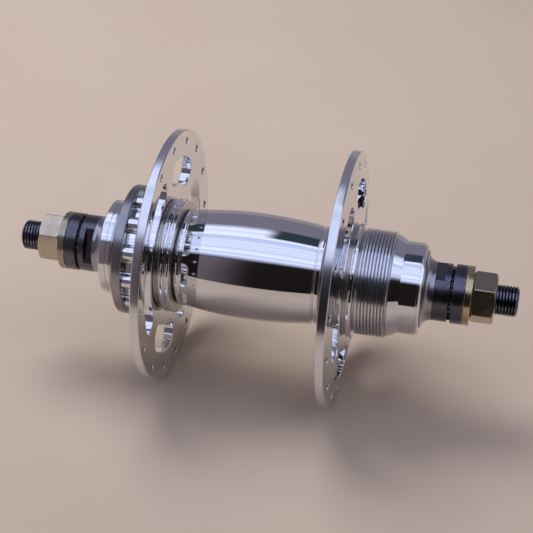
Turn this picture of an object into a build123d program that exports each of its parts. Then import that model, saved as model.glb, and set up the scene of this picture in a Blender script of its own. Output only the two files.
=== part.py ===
from build123d import *
import math
import os

# High-flange rear track hub for a bicycle, in millimetres.
# The axle lies along X with its middle at the origin, +Z is up, and the toothed
# cog seat with its lockring is at the -X end, the freewheel thread at the +X end.

# Axle and the width over the locknuts
over_locknuts = 132.5
axle_diameter = 9.86
axle_stick_out = 7.1
axle_pitch = 1.0
axle_thread_depth = 0.45
axle_thread_length = 31.0
axle_tip_chamfer = 0.9
axle_clearance = 0.06

# Thread form: half a crest as a share of the pitch, and the slack in counting whole turns
half_crest_share = 0.12
turn_slack = 1e-6

# Ball bearings: a bore of 10 on the axle, 26 across the outside and 8 wide
race_clearance = 0.07
race_section = 8.0
race_width = 8.0
race_wall = 2.15
race_recess = 1.0
race_chamfer = 0.3
ball_diameter = 4.762
ball_count = 7
ball_clearance = 0.08
cage_wall = 1.3
cage_pocket_clearance = 0.15
cage_seal_gap = 0.1
cage_front = 1.2
seal_thickness = 0.7
seal_inset = 0.35
seal_clearance = 0.15
seat_clearance = 0.02
sleeve_wall = 1.5

# Locknut, lock washer, adjusting nut and dust cap on each end of the axle
locknut_radius = 9.65
locknut_width = 3.8
locknut_chamfer = 0.4
pin_hole_diameter = 2.2
pin_hole_depth = 1.8
lock_washer_thickness = 1.0
lock_washer_radius = 8.75
lock_washer_teeth = 24
lock_washer_tooth_depth = 0.75
adjusting_nut_radius = 9.5
adjusting_nut_width = 4.85
adjusting_nut_chamfer = 0.3
wrench_flat_depth = 2.0
wrench_flat_length = 2.95
left_flat_angle = 158.3
right_flat_angle = 90.0
left_cap_length = 4.39
right_cap_length = 3.54
cap_running_gap = 0.4
cap_lift = 0.3
cap_lip_stand = 0.3
cap_neck_step = 0.05

# Axle nut with its captive washer
nut_sides = 6
nut_flats = 15.0
nut_height = 7.6
nut_skirt_step = 0.8
nut_skirt_gap = 0.15
nut_bore_chamfer = 0.7
nut_corner_angle = 30.0
nut_face_step = 0.15
left_nut_corner = 27.4
right_nut_corner = 15.8
washer_margin = 1.09
washer_thickness = 2.3
washer_floor = 0.7
washer_chamfer = 0.25

# Cog seat and lockring thread at the -X end of the shell
left_ring_width = 2.9
left_ring_wall = 2.9
left_band_width = 1.2
lock_thread_step = 0.5
lock_thread_pitch = 1.058
lock_thread_length = 5.3
spline_length = 8.1
spline_count = 12
spline_first_angle = 4.6
spline_step = 1.7
spline_height = 2.7
spline_lobe_radius = 2.5
spline_blend = 0.9
join_overlap = 0.5

# Lockring on the cog seat
lockring_overhang = 0.9
lockring_width = 3.1
lockring_chamfer = 0.35
lockring_clearance = 0.05
lockring_pin_diameter = 3.0
lockring_pin_depth = 1.9
lockring_pin_count = 4
lockring_pin_first_angle = 45.0

# Freewheel thread at the +X end of the shell
freewheel_thread_radius = 17.4
freewheel_pitch = 1.058
freewheel_thread_turns = 8
thread_depth = 0.6
shoulder_step = 1.4
shoulder_width = 2.25
shoulder_groove_width = 0.4
shoulder_groove_depth = 0.9
thread_relief_width = 2.3
thread_relief_depth = 0.9
taper_step = 0.5
taper_length = 3.5
neck_wall = 2.1
neck_length = 5.6
fine_groove_width = 0.3
fine_groove_depth = 0.3
bevel_length = 0.7
bevel_drop = 0.7
end_chamfer = 0.4

# Flanges
flange_diameter = 83.9
rim_thickness = 2.93
rim_chamfer = 0.3
inner_face_slope = 0.073
outer_face_slope = 0.117
outer_slope_depth = 13.55

# Spoke holes
spokes_per_flange = 16
spoke_hole_diameter = 2.5
spoke_hole_inset = 3.75
spoke_sink = 0.35

# Curved slots in each flange
slot_count = 6
slot_width = 9.08
slot_half_angle = 14.24
slot_first_angle = 6.24
slot_inward_shift = 0.22

# Barrel between the flanges, and the collar at the foot of each flange
race_shoulder = 1.0
barrel_wall = 4.2
barrel_crown = 1.65
collar_height = 2.9
collar_valley_depth = 0.6
collar_foot_depth = 0.9
collar_ridge_rise = 1.6
collar_ridge_gap = 1.25
collar_drop = 1.15
collar_groove_depth = 0.35
collar_groove_width = 0.3
collar_ring_width = 1.8

# Radii worked out from the sizes above, from the axle outwards
axle_radius = axle_diameter / 2
free_bore = axle_radius + axle_clearance
race_bore = axle_radius + race_clearance
pitch_radius = race_bore + race_section / 2
seat_radius = race_bore + race_section
ball_radius = ball_diameter / 2
inner_shoulder_radius = race_bore + race_wall
outer_shoulder_radius = seat_radius - race_wall
shell_bore_radius = seat_radius - race_shoulder
barrel_end_radius = shell_bore_radius + barrel_wall
barrel_crown_radius = barrel_end_radius + barrel_crown
collar_radius = barrel_end_radius + collar_height
neck_radius = seat_radius + neck_wall
left_ring_radius = seat_radius + left_ring_wall
lock_thread_radius = left_ring_radius + lock_thread_step
spline_root_radius = lock_thread_radius + spline_step
spline_tip_radius = spline_root_radius + spline_height
lockring_radius = spline_tip_radius + lockring_overhang
shoulder_radius = freewheel_thread_radius + shoulder_step
flange_radius = flange_diameter / 2
spoke_radius = flange_radius - spoke_hole_inset
slot_radius = (collar_radius + spoke_radius) / 2 - slot_inward_shift
nut_corner_radius = nut_flats / 2 / math.cos(math.pi / nut_sides)
nut_skirt_radius = nut_flats / 2 - nut_skirt_step
washer_radius = nut_corner_radius + washer_margin

# Distances from the middle of the axle, the same at both ends
locknut_face = over_locknuts / 2
locknut_start = locknut_face - locknut_width
lock_washer_start = locknut_start - lock_washer_thickness
adjusting_nut_start = lock_washer_start - adjusting_nut_width
washer_end = locknut_face + washer_thickness
nut_end = washer_end + nut_height
axle_tip = nut_end + axle_stick_out

# Places along the shell, from each end in to its flange
left_end = left_cap_length - adjusting_nut_start
left_band_end = left_end + left_ring_width
lock_thread_end = left_band_end + left_band_width
spline_end = lock_thread_end + lock_thread_length
left_face = spline_end + spline_length
right_end = adjusting_nut_start - right_cap_length
bevel_start = right_end - bevel_length
neck_end = bevel_start - fine_groove_width
taper_end = neck_end - neck_length
thread_end = taper_end - taper_length
thread_start = thread_end - freewheel_thread_turns * freewheel_pitch
relief_start = thread_start - thread_relief_width
shoulder_end = relief_start - shoulder_groove_width
right_face = shoulder_end - shoulder_width
flange_offset = (left_face + right_face) / 2
outer_root = (right_face - left_face) / 2
outer_rim = outer_root - outer_face_slope * outer_slope_depth
inner_rim = outer_rim - rim_thickness
left_race = -left_end - race_recess
right_race = right_end - race_recess
cage_back = race_width / 2 - seal_inset - seal_thickness - cage_seal_gap


# A solid turned about the hub's axis from (x, radius) points
def turned(points):
    with BuildPart() as solid:
        with BuildSketch(Plane.XY):
            with BuildLine():
                Polyline(*points, close=True)
            make_face()
        revolve(axis=Axis.X)
    return solid.part


# The same, for a piece that exists at both ends: side is -1 at -X and 1 at +X
def turned_on(side, points):
    return turned([(side * x, radius) for x, radius in points])


# A plain cylinder along the hub's axis from x_low to x_high, off the axis by (y, z)
def rod(x_low, x_high, radius, y=0.0, z=0.0):
    middle = Location(((x_low + x_high) / 2, y, z))
    return middle * Rot(0, 90, 0) * Cylinder(radius, x_high - x_low)


# Ridges of a thread, drawn as rings: V grooves between narrow crests
def thread_points(x_from, x_to, pitch, crest, depth):
    turns = int(abs(x_to - x_from) / pitch + turn_slack)
    step = math.copysign(pitch, x_to - x_from)
    half_crest = half_crest_share * step
    points = []
    for turn in range(turns):
        start = x_from + turn * step
        end = start + step
        points += [(start + half_crest, crest), ((start + end) / 2, crest - depth), (end - half_crest, crest)]
    return points


# Point on a circle about the hub's axis, at an angle from +Y towards +Z
def around(radius, angle):
    turn = math.radians(angle)
    return radius * math.cos(turn), radius * math.sin(turn)


# Outline of one flange foot, from the inner face down to the end of the barrel
def collar_outline():
    foot = inner_rim + inner_face_slope * (flange_radius - collar_radius + collar_foot_depth)
    first_crest = foot - collar_ridge_rise
    valley = first_crest - collar_ridge_gap
    second_crest = valley - collar_ridge_gap
    groove = second_crest - collar_drop
    ring_out = groove - collar_groove_width
    ring_in = ring_out - collar_ring_width
    ring_groove = barrel_end_radius - collar_groove_depth
    return [
        (foot, collar_radius - collar_foot_depth),
        (first_crest, collar_radius),
        (valley, collar_radius - collar_valley_depth),
        (second_crest, collar_radius),
        (groove, ring_groove),
        (ring_out, barrel_end_radius),
        (ring_in, barrel_end_radius),
        (ring_in - collar_groove_width, ring_groove),
        (ring_in - 2 * collar_groove_width, barrel_end_radius),
    ]


# Outline of one flange, from its outer root over the rim to its inner foot
def flange_outline(outer_foot_radius):
    rim = flange_radius - rim_chamfer
    return [
        (outer_root, outer_foot_radius),
        (outer_root, flange_radius - outer_slope_depth),
        (outer_rim, rim),
        (outer_rim - rim_chamfer, flange_radius),
        (inner_rim + rim_chamfer, flange_radius),
        (inner_rim, rim),
    ]


# Cog seat end of the shell, from the flange outwards
def left_end_outline():
    ring_foot = left_band_end - fine_groove_width
    return [
        (spline_end, spline_root_radius),
        (spline_end, lock_thread_radius),
        *thread_points(spline_end, lock_thread_end, lock_thread_pitch, lock_thread_radius, thread_depth),
        (lock_thread_end, left_ring_radius - thread_depth),
        (lock_thread_end, left_ring_radius),
        (left_band_end, left_ring_radius),
        (left_band_end, left_ring_radius - fine_groove_depth),
        (ring_foot, left_ring_radius - fine_groove_depth),
        (ring_foot, left_ring_radius),
        (left_end + end_chamfer, left_ring_radius),
        (left_end, left_ring_radius - end_chamfer),
    ]


# Freewheel end of the shell, from the flange outwards
def right_end_outline():
    relief = freewheel_thread_radius - thread_relief_depth
    return [
        (right_face, shoulder_radius),
        (shoulder_end - end_chamfer, shoulder_radius),
        (shoulder_end, shoulder_radius - end_chamfer),
        (shoulder_end, relief - shoulder_groove_depth),
        (relief_start, relief - shoulder_groove_depth),
        (relief_start, relief),
        (thread_start, relief),
        *thread_points(thread_start, thread_end, freewheel_pitch, freewheel_thread_radius, thread_depth),
        (thread_end, freewheel_thread_radius - taper_step),
        (taper_end, neck_radius),
        (neck_end, neck_radius),
        (neck_end, neck_radius - fine_groove_depth),
        (bevel_start, neck_radius - fine_groove_depth),
        (bevel_start, neck_radius),
        (right_end, neck_radius - bevel_drop),
    ]


# Bore of the shell, from the +X mouth to the -X mouth
def bore_outline():
    right_seat = right_race - race_width
    left_seat = left_race - race_width
    mouth = seat_radius + end_chamfer
    return [
        (right_end, mouth),
        (right_end - end_chamfer, seat_radius),
        (right_seat, seat_radius),
        (right_seat, shell_bore_radius),
        (-left_seat, shell_bore_radius),
        (-left_seat, seat_radius),
        (left_end + end_chamfer, seat_radius),
        (left_end, mouth),
    ]


# Whole turned body of the shell, its barrel crowned by one arc
def shell_body():
    left_collar = [(flange_offset - x, radius) for x, radius in collar_outline()]
    left_flange = [(flange_offset - x, radius) for x, radius in flange_outline(spline_root_radius)]
    left_side = left_end_outline()[::-1] + left_flange + left_collar
    right_collar = [(flange_offset + x, radius) for x, radius in collar_outline()][::-1]
    right_flange = [(flange_offset + x, radius) for x, radius in flange_outline(shoulder_radius)][::-1]
    right_side = right_collar + right_flange[:-1] + right_end_outline()
    with BuildPart() as solid:
        with BuildSketch(Plane.XY):
            with BuildLine():
                Polyline(*left_side)
                ThreePointArc(left_side[-1], (flange_offset, barrel_crown_radius), right_side[0])
                Polyline(*right_side, *bore_outline(), left_side[0])
            make_face()
        revolve(axis=Axis.X)
    return solid.part


# Rounded lobes of the cog seat, sunk a little into the flange behind them
def cog_seat():
    lobe_circle = spline_tip_radius - spline_lobe_radius
    with BuildPart() as seat:
        with BuildSketch(Plane.YZ.offset(spline_end)) as outline:
            Circle(spline_root_radius)
            for lobe in range(spline_count):
                with Locations(around(lobe_circle, spline_first_angle + lobe * 360 / spline_count)):
                    Circle(spline_lobe_radius)
            fillet(outline.vertices(), spline_blend)
            Circle(lock_thread_radius, mode=Mode.SUBTRACT)
        extrude(amount=spline_length + join_overlap)
    return seat.part


# The six curved slots, cut through both flanges at once
def flange_slots():
    outside = Plane.YZ.offset(flange_offset - outer_root)
    slots = []
    for slot in range(slot_count):
        middle = slot_first_angle + slot * 360 / slot_count
        arc = CenterArc((0, 0), slot_radius, middle - slot_half_angle, 2 * slot_half_angle)
        slots.append(extrude(outside * SlotArc(arc, slot_width), 2 * outer_root))
    return slots


# Spoke holes of one flange, each with a small sink on both faces
def spoke_holes(side, first_angle):
    depth = rim_thickness + outer_face_slope * (flange_radius - spoke_radius)
    middle = flange_offset + side * (inner_rim + outer_rim) / 2
    low = middle - depth
    high = middle + depth
    inner = flange_offset + side * (inner_rim + inner_face_slope * spoke_hole_inset)
    outer = flange_offset + side * (outer_rim + outer_face_slope * spoke_hole_inset)
    hole = spoke_hole_diameter / 2
    cutters = []
    for spoke in range(spokes_per_flange):
        y, z = around(spoke_radius, first_angle + spoke * 360 / spokes_per_flange)
        cutters.append(rod(low, high, hole, y, z))
        for face, outward in ((inner, -side), (outer, side)):
            sink = Cone(hole, hole + 2 * spoke_sink, 2 * spoke_sink)
            cutters.append(Location((face, y, z)) * Rot(0, 90 * outward, 0) * sink)
    return cutters


def hub_shell():
    half_pitch = 180 / spokes_per_flange
    shell = shell_body() + cog_seat()
    shell = shell - flange_slots()
    return shell - spoke_holes(-1, 0.0) - spoke_holes(1, half_pitch)


# Solid axle, threaded at both ends
def axle():
    tip_end = axle_tip - axle_tip_chamfer
    inboard = axle_tip - axle_thread_length
    threads = thread_points(tip_end, inboard, axle_pitch, axle_radius, axle_thread_depth)
    right = [(axle_tip, axle_radius - axle_tip_chamfer), (tip_end, axle_radius), *threads]
    left = [(-x, radius) for x, radius in right]
    return turned([(-axle_tip, 0), *left, *right[::-1], (axle_tip, 0)])


# Spacer tube that keeps the two inner races apart
def axle_sleeve():
    left = -(left_race - race_width)
    right = right_race - race_width
    outer = race_bore + sleeve_wall
    return rod(left, right, outer) - rod(left, right, race_bore)


# Groove of a ball race, a ring about the hub's axis
def race_groove(middle):
    return Location((middle, 0, 0)) * Rot(0, 90, 0) * Torus(pitch_radius, ball_radius + ball_clearance)


# Middle of a bearing, seen along X, on its own side
def bearing_middle(side):
    outer_face = left_race if side < 0 else right_race
    return side * (outer_face - race_width / 2)


def ring_with_chamfers(middle, half_width, inner, outer, chamfer, chamfer_outer):
    if chamfer_outer:
        corners = [(half_width - chamfer, outer), (half_width, outer - chamfer), (half_width, inner)]
    else:
        corners = [(half_width, outer), (half_width, inner + chamfer), (half_width - chamfer, inner)]
    mirrored = [(-x, radius) for x, radius in corners[::-1]]
    return turned([(middle + x, radius) for x, radius in corners + mirrored])


def inner_race(side):
    middle = bearing_middle(side)
    half = race_width / 2
    ring = ring_with_chamfers(middle, half, race_bore, inner_shoulder_radius, race_chamfer, False)
    return ring - race_groove(middle)


def outer_race(side):
    middle = bearing_middle(side)
    half = race_width / 2
    outer = seat_radius - seat_clearance
    ring = ring_with_chamfers(middle, half, outer_shoulder_radius, outer, race_chamfer, True)
    return ring - race_groove(middle)


def bearing_balls(side):
    middle = bearing_middle(side)
    balls = []
    for ball in range(ball_count):
        y, z = around(pitch_radius, ball * 360 / ball_count)
        balls.append(Location((middle, y, z)) * Sphere(ball_radius))
    return Compound(children=balls)


# Crown cage: a ring with one pocket for each ball, open towards the hub's middle
def bearing_cage(side):
    middle = bearing_middle(side)
    back = middle + side * cage_back
    front = middle - side * cage_front
    low, high = min(back, front), max(back, front)
    half_wall = cage_wall / 2
    cage = rod(low, high, pitch_radius + half_wall) - rod(low, high, pitch_radius - half_wall)
    drill = Cylinder(ball_radius + cage_pocket_clearance, 2 * cage_wall)
    pocket = Pos(0, pitch_radius, 0) * Rot(90, 0, 0) * drill
    for ball in range(ball_count):
        cage -= Pos(middle, 0, 0) * Rot(ball * 360 / ball_count, 0, 0) * pocket
    return cage


# Rubber seal in a bearing's outer race: facing is 1 outboard and -1 inboard
def bearing_seal(side, facing):
    middle = bearing_middle(side)
    outer_face = middle + side * facing * (race_width / 2 - seal_inset)
    inner_face = outer_face - side * facing * seal_thickness
    low, high = min(outer_face, inner_face), max(outer_face, inner_face)
    ring = rod(low, high, outer_shoulder_radius - seat_clearance)
    return ring - rod(low, high, inner_shoulder_radius + seal_clearance)


# Trumpet-shaped dust cap, from the inner race out to the adjusting nut
def dust_cap(side):
    seat = left_race if side < 0 else right_race
    disc = seat + cap_lift
    lip = seat + race_recess + cap_lip_stand
    flare = seat_radius - cap_running_gap
    neck = (side * adjusting_nut_start, adjusting_nut_radius + cap_neck_step)
    with BuildPart() as cap:
        with BuildSketch(Plane.XY):
            with BuildLine():
                Polyline(
                    neck,
                    (side * adjusting_nut_start, free_bore),
                    (side * seat, free_bore),
                    (side * seat, inner_shoulder_radius - race_chamfer),
                    (side * disc, inner_shoulder_radius),
                    (side * disc, flare),
                    (side * lip, flare),
                )
                TangentArc(neck, (side * lip, flare), tangent=(-side, 0))
            make_face()
        revolve(axis=Axis.X)
    return cap.part


# A round nut body with chamfered rims, from x_low to x_high on its own side
def round_nut(side, x_low, x_high, radius, chamfer):
    return turned_on(side, [
        (x_low, free_bore),
        (x_low, radius - chamfer),
        (x_low + chamfer, radius),
        (x_high - chamfer, radius),
        (x_high, radius - chamfer),
        (x_high, free_bore),
    ])


# Adjusting nut: two wrench flats on its inboard part, a full round rim outboard
def adjusting_nut(side):
    low = adjusting_nut_start
    angle = left_flat_angle if side < 0 else right_flat_angle
    nut = round_nut(side, low, lock_washer_start, adjusting_nut_radius, adjusting_nut_chamfer)
    flat = adjusting_nut_radius - wrench_flat_depth
    block = Box(wrench_flat_length, adjusting_nut_radius, 2 * adjusting_nut_radius)
    middle = side * (low + wrench_flat_length / 2)
    for turn in (0, 180):
        nut -= Pos(middle, 0, 0) * Rot(angle + turn, 0, 0) * Pos(0, flat + adjusting_nut_radius / 2, 0) * block
    return nut


# Toothed lock washer between the adjusting nut and the locknut
def lock_washer(side):
    root = lock_washer_radius - lock_washer_tooth_depth
    low, high = sorted((side * lock_washer_start, side * locknut_start))
    tooth_width = math.pi * lock_washer_radius / lock_washer_teeth
    with BuildPart() as washer:
        with BuildSketch(Plane.YZ.offset(low)):
            Circle(root)
            with PolarLocations(root, lock_washer_teeth):
                Rectangle(2 * lock_washer_tooth_depth, tooth_width)
            Circle(free_bore, mode=Mode.SUBTRACT)
        extrude(amount=high - low)
    return washer.part


# Locknut with two blind pin-wrench holes under the axle nut's washer
def locknut(side):
    nut = round_nut(side, locknut_start, locknut_face, locknut_radius, locknut_chamfer)
    low, high = sorted((side * (locknut_face - pin_hole_depth), side * locknut_face))
    for angle in (0, 180):
        y, z = around((free_bore + locknut_radius) / 2, angle)
        nut -= rod(low, high, pin_hole_diameter / 2, y, z)
    return nut


# Captive washer, recessed on its outer side for the skirt of the axle nut
def nut_washer(side):
    recess = locknut_face + washer_floor
    skirt_bore = nut_skirt_radius + axle_clearance
    return turned_on(side, [
        (locknut_face, free_bore),
        (locknut_face, washer_radius - washer_chamfer),
        (locknut_face + washer_chamfer, washer_radius),
        (washer_end - washer_chamfer, washer_radius),
        (washer_end, washer_radius - washer_chamfer),
        (washer_end, skirt_bore),
        (recess, skirt_bore),
        (recess, free_bore),
    ])


# Hexagon axle nut with chamfered corners and a skirt that carries the washer
def axle_nut(side):
    skirt_start = locknut_face + washer_floor + nut_skirt_gap
    chamfer_foot = nut_flats / 2 - nut_face_step
    drop = (nut_corner_radius - chamfer_foot) * math.tan(math.radians(nut_corner_angle))
    angle = left_nut_corner if side < 0 else right_nut_corner
    low, high = sorted((side * washer_end, side * nut_end))
    outline = Plane.YZ.offset(low) * Rot(0, 0, angle) * RegularPolygon(nut_corner_radius, nut_sides)
    envelope = turned_on(side, [
        (skirt_start, free_bore),
        (skirt_start, nut_skirt_radius),
        (washer_end, nut_skirt_radius),
        (washer_end, chamfer_foot),
        (washer_end + drop, nut_corner_radius + axle_clearance),
        (nut_end - drop, nut_corner_radius + axle_clearance),
        (nut_end, chamfer_foot),
        (nut_end, free_bore + nut_bore_chamfer),
        (nut_end - nut_bore_chamfer, free_bore),
    ])
    skirt_low, skirt_high = sorted((side * skirt_start, side * washer_end))
    return (extrude(outline, high - low) + rod(skirt_low, skirt_high, nut_skirt_radius)) & envelope


# Lockring with blind pin-wrench holes in its outboard face
def cog_lockring():
    bore = lock_thread_radius + lockring_clearance
    outboard = spline_end - lockring_width
    ring = turned([
        (spline_end, bore),
        (spline_end, lockring_radius - lockring_chamfer),
        (spline_end - lockring_chamfer, lockring_radius),
        (outboard + lockring_chamfer, lockring_radius),
        (outboard, lockring_radius - lockring_chamfer),
        (outboard, bore),
    ])
    for pin in range(lockring_pin_count):
        angle = lockring_pin_first_angle + pin * 360 / lockring_pin_count
        y, z = around((bore + lockring_radius) / 2, angle)
        ring -= rod(outboard, outboard + lockring_pin_depth, lockring_pin_diameter / 2, y, z)
    return ring


# Write one file for each piece
def write(name, solid):
    export_step(solid, os.path.join("parts", name + ".step"))
    print(name, round(solid.volume, 2))


os.makedirs("parts", exist_ok=True)
write("axle", axle())
write("axle_sleeve", axle_sleeve())
write("hub_shell", hub_shell())
write("cog_lockring", cog_lockring())
for name, side in (("left", -1), ("right", 1)):
    write(name + "_bearing_inner_race", inner_race(side))
    write(name + "_bearing_outer_race", outer_race(side))
    write(name + "_bearing_balls", bearing_balls(side))
    write(name + "_bearing_cage", bearing_cage(side))
    write(name + "_outboard_seal", bearing_seal(side, 1))
    write(name + "_inboard_seal", bearing_seal(side, -1))
    write(name + "_dust_cap", dust_cap(side))
    write(name + "_adjusting_nut", adjusting_nut(side))
    write(name + "_lock_washer", lock_washer(side))
    write(name + "_locknut", locknut(side))
    write(name + "_nut_washer", nut_washer(side))
    write(name + "_axle_nut", axle_nut(side))
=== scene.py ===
# %% [markdown]
# A high-flange rear track hub, dressed for a studio picture.
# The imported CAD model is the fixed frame, and says where every piece sits. The pieces made here stand
# over it with finer edges, real threads and the metal finishes. Nothing in the frame is moved.

# %% Load the frame
import math
import bpy
import bmesh
import numpy as np
from mathutils import Matrix, Vector


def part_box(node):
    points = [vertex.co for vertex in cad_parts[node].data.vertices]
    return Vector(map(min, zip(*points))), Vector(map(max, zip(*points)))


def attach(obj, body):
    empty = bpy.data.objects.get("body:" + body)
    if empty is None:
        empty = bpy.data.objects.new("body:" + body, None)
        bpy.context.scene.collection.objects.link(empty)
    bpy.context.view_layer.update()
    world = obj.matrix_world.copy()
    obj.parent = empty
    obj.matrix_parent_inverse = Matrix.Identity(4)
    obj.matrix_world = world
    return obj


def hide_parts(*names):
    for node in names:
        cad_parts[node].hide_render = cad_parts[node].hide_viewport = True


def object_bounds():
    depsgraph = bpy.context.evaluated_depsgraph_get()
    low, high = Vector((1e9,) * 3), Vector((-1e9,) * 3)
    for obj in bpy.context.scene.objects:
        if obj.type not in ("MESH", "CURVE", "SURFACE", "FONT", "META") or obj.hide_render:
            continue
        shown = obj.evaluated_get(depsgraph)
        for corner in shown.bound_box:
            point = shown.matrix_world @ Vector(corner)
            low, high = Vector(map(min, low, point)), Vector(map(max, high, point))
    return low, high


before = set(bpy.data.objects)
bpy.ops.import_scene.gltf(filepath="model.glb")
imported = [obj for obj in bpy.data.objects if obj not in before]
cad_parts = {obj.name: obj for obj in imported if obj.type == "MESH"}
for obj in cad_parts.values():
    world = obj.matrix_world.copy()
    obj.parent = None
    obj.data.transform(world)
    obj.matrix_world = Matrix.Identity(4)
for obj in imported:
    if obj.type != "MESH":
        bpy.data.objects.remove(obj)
cad_low, cad_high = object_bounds()
scene = bpy.context.scene
mm = 0.001
sides = (("left", -1), ("right", 1))
print("frame of", len(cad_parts), "nodes,", round((cad_high.x - cad_low.x) / mm, 2), "mm long")

# %% [markdown]
# The camera comes first, because the whole picture depends on it. It is a long lens
# about 44 cm away, 30 degrees above the floor and a little to the right of the hub's middle. Its rotation
# is built from a turn round the vertical, a tilt and a small roll, because a photographer reads angles
# more easily than a matrix copied from somewhere.

# %% Camera at the photograph's view
camera_turn = math.radians(11.6566)
camera_height = math.radians(30.0)
camera_roll = math.radians(2.0425)
camera_place = Vector((77.87, -373.43, 220.47)) * mm
lens_length = 90.2


def camera_rotation(turn, height, roll):
    back = Vector((math.sin(turn) * math.cos(height), -math.cos(turn) * math.cos(height), math.sin(height)))
    level = Vector((math.cos(turn), math.sin(turn), 0))
    upright = back.cross(level)
    right = level * math.cos(roll) + upright * math.sin(roll)
    up = back.cross(right)
    return Matrix((right, up, back)).transposed()


camera = bpy.data.objects.new("camera", bpy.data.cameras.new("camera"))
camera.data.lens = lens_length
camera.data.clip_start = 0.01
camera.matrix_world = Matrix.Translation(camera_place) @ camera_rotation(
    camera_turn, camera_height, camera_roll).to_4x4()
scene.collection.objects.link(camera)
scene.camera = camera
print("camera", round(camera_place.length / mm), "mm from the hub's middle")

# %% [markdown]
# A finish in Blender is a small graph of nodes, and so is the studio's light. Written out, each node
# takes four or five lines. The helpers here add one node each, feed its inputs and hand back its output,
# so that a finish further down reads like a recipe. An input takes a number, a colour or another node's
# output.

# %% Node helpers


def feed(tree, socket, value):
    if isinstance(value, bpy.types.NodeSocket):
        tree.links.new(value, socket)
    elif isinstance(value, tuple):
        socket.default_value = (*value, 1)
    else:
        socket.default_value = value


def fill(tree, node, **inputs):
    """Feed a node's inputs by name. An underscore stands for a space in the name."""
    for name, value in inputs.items():
        feed(tree, node.inputs[name.replace("_", " ")], value)
    return node


def add_node(tree, kind, **inputs):
    return fill(tree, tree.nodes.new("ShaderNode" + kind), **inputs)


def object_point(tree):
    return add_node(tree, "TexCoord").outputs["Object"]


def noise(tree, where, scale, detail=3.0):
    return add_node(tree, "TexNoise", Vector=where, Scale=scale, Detail=detail).outputs["Fac"]


def spread(tree, value, low, high, start=0.3, end=0.7, bend="LINEAR"):
    """Stretch a value so that start comes out as low and end as high."""
    fit = add_node(tree, "MapRange", Value=value, From_Min=start, From_Max=end, To_Min=low, To_Max=high)
    fit.interpolation_type = bend
    return fit.outputs["Result"]


def soft_step(tree, value, start, end):
    return spread(tree, value, 0, 1, start, end, "SMOOTHSTEP")


def calculate(tree, operation, first, second):
    result = add_node(tree, "Math")
    result.operation = operation
    for socket, value in zip(result.inputs, (first, second)):
        feed(tree, socket, value)
    return result.outputs["Value"]


def mix_colour(tree, share, first, second):
    mix = add_node(tree, "Mix")
    mix.data_type = "RGBA"
    return fill(tree, mix, Factor=share, A=first, B=second).outputs["Result"]


def node_material(name):
    material = bpy.data.materials.new(name)
    material.use_nodes = True
    return material, material.node_tree, material.node_tree.nodes["Principled BSDF"]


print("node helpers ready")

# %% [markdown]
# A mirror finish shows its surroundings, so the studio matters as much as the metal. Every round piece
# here shows four bands from top to bottom: a grey wall, one large cool light, a dark stretch and the warm
# pale floor. The floor is one sheet with one colour, for the camera and for the metal alike.
# The dark stretch is a black card in front of the hub, as a photographer would place one. A mirror
# between a pale floor and a pale light has no dark line without it, and looks like grey plastic. The card
# is hidden from the camera and throws no shade. Towards the left it fades to a dark grey.

# %% Floor and black card
floor_size = 6.0
floor_clouds = 9.0
floor_colours = ((0.54, 0.41, 0.3), (0.6, 0.47, 0.355))
card_front = 0.16
card_height = 0.16
card_reach = 0.6
card_fade = (-0.09, -0.02)
card_colours = ((0.2, 0.17, 0.19), (0.02, 0.016, 0.015))


def stage_sheet(name, corners, material, seen=True):
    """A flat sheet that belongs to the studio. Unseen, it shows only in reflections."""
    mesh = bpy.data.meshes.new(name)
    mesh.from_pydata(corners, [], [(0, 1, 2, 3)])
    mesh.materials.append(material)
    sheet = bpy.data.objects.new(name, mesh)
    scene.collection.objects.link(sheet)
    sheet.visible_camera = seen
    sheet.visible_diffuse = seen
    sheet.visible_shadow = seen


def make_floor():
    material, tree, shader = node_material("studio_floor")
    cloud = noise(tree, object_point(tree), floor_clouds)
    colour = mix_colour(tree, cloud, *floor_colours)
    fill(tree, shader, Base_Color=colour, Roughness=0.6, Specular_IOR_Level=0.1)
    half, low = floor_size / 2, cad_low.z
    corners = [(-half, -half, low), (half, -half, low), (half, half, low), (-half, half, low)]
    stage_sheet("floor", corners, material)


def make_black_card():
    material, tree, shader = node_material("black_card")
    x = add_node(tree, "SeparateXYZ", Vector=object_point(tree)).outputs["X"]
    colour = mix_colour(tree, soft_step(tree, x, *card_fade), *card_colours)
    fill(tree, shader, Base_Color=colour, Roughness=0.9, Specular_IOR_Level=0.0)
    low, high = cad_low.z, cad_low.z + card_height
    corners = [(-card_reach, -card_front, low), (card_reach, -card_front, low),
               (card_reach, -card_front, high), (-card_reach, -card_front, high)]
    stage_sheet("black_card", corners, material, seen=False)


make_floor()
make_black_card()
print("floor at", round(cad_low.z / mm, 2), "mm, card", card_height / mm, "mm high")

# %% [markdown]
# The large light is drawn in the world's nodes. A lamp could do it, but its mirrored edges are hard and
# flat white. A direction divided by its height gives a place on the ceiling, and soft steps frame the
# light there. Faint streaks run through it, and a dark bar crosses it on the right, so that a curved
# mirror has lines to bend.
# The walls are dark in front and grey behind the hub. Low down they are a paler grey all round, as a
# paper backdrop is where it curves up from the floor.

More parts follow.
